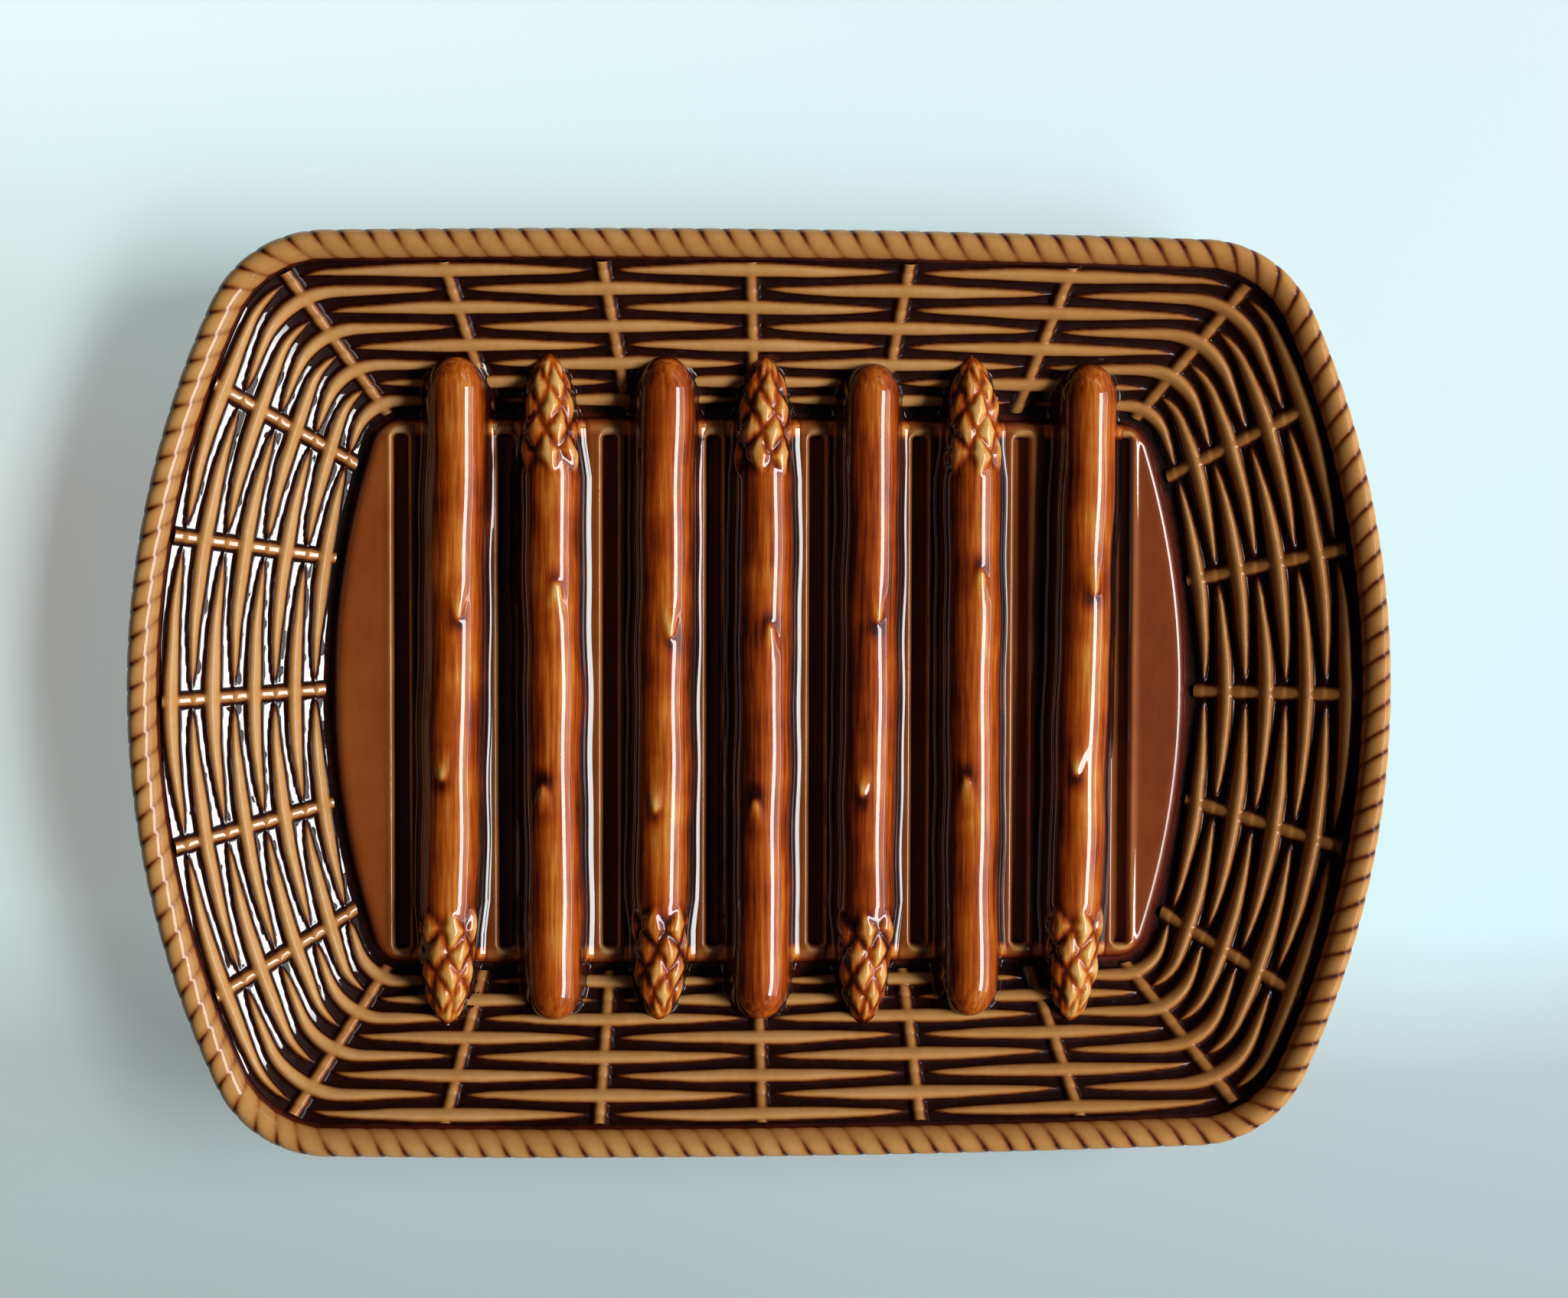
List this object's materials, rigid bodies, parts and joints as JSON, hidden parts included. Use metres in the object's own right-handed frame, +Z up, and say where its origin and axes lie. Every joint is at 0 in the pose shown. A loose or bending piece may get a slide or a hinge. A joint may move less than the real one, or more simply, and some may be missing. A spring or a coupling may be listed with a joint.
{
  "type": "asparagus plate",
  "caption": "Oval serving plate with a raised draining panel, moulded asparagus spears lying across it, a basket-weave wall and a rope edge, standing on a foot ring.",
  "frame": {"origin": "middle of the plate, on the table under the foot ring", "axes": "+Z up from the table, +X along the plate's long way, +Y along the spears"},
  "size_m": [0.38, 0.279, 0.0385],
  "materials": {
    "dark_glaze": null,
    "russet_glaze": "glossy red-brown glaze over earthenware, darker where it pools",
    "amber_glaze": "glossy amber glaze over earthenware, darker in the hollows",
    "honey_glaze": "glossy honey glaze, thin on the raised strands and nearly black between them",
    "bare_clay": "unglazed buff earthenware, wiped clean on the bearing face"
  },
  "bodies": {
    "root": {"dish_shell": "dark_glaze", "foot_ring": "bare_clay", "drainer_panel": "russet_glaze", "rope_edge": "honey_glaze", "wall_stakes": "honey_glaze", "asparagus_spear_1": "amber_glaze", "asparagus_spear_2": "amber_glaze", "asparagus_spear_3": "amber_glaze", "asparagus_spear_4": "amber_glaze", "asparagus_spear_5": "amber_glaze", "asparagus_spear_6": "amber_glaze", "asparagus_spear_7": "amber_glaze", "weave_row_1": "honey_glaze", "weave_row_2": "honey_glaze", "weave_row_3": "honey_glaze", "weave_row_4": "honey_glaze", "weave_row_5": "honey_glaze", "weave_row_6": "honey_glaze", "weave_row_7": "honey_glaze", "weave_row_8": "honey_glaze"}
  },
  "joints": []
}
